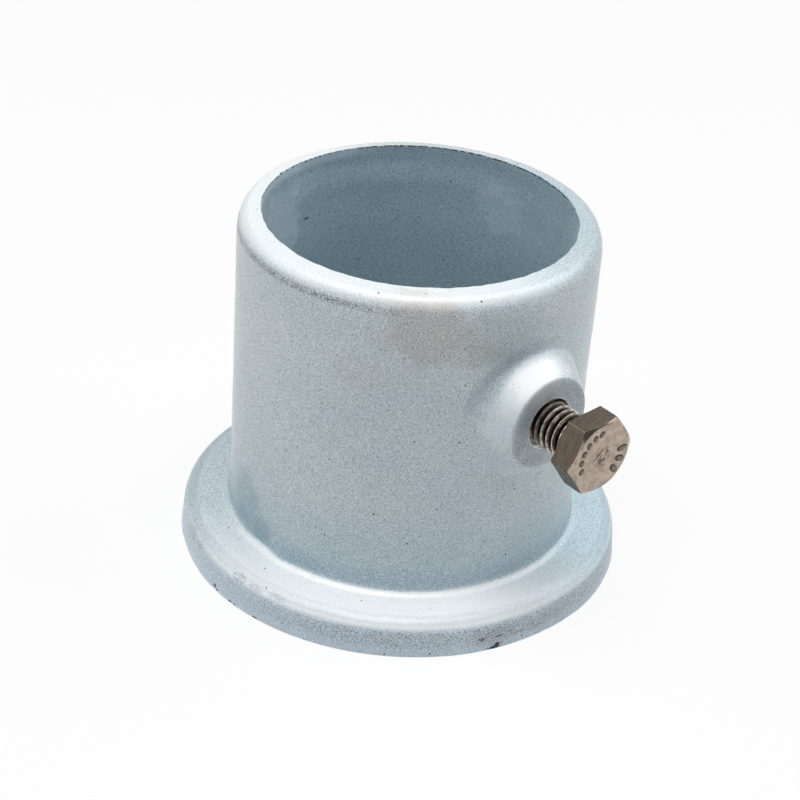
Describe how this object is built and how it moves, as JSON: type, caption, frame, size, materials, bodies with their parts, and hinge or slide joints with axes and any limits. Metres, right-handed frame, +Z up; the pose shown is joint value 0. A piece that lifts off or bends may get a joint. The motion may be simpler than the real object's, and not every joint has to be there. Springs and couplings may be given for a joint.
{
  "type": "tube clamp base flange",
  "caption": "Cast sleeve on a round foot that stands a tube upright, clamped by a hexagon set bolt threaded through a side boss.",
  "frame": {"origin": "centre of the bore at the underside of the foot", "axes": "+Z up the bore, +X outwards along the set bolt"},
  "size_m": [0.1019, 0.093, 0.074],
  "materials": {
    "coated_casting": "satin zinc coat over a lightly pitted sand casting",
    "bolt_steel": "plain steel, brushed hexagon flats and bright thread"
  },
  "bodies": {
    "casting": {"flange_casting": "coated_casting"},
    "bolt": {"set_bolt": "bolt_steel"}
  },
  "joints": [
    {"name": "set_bolt_travel", "type": "slide", "parent": "casting", "child": "bolt", "axis": [1, 0, 0], "range_m": [-0.0085, 0.0056]}
  ]
}
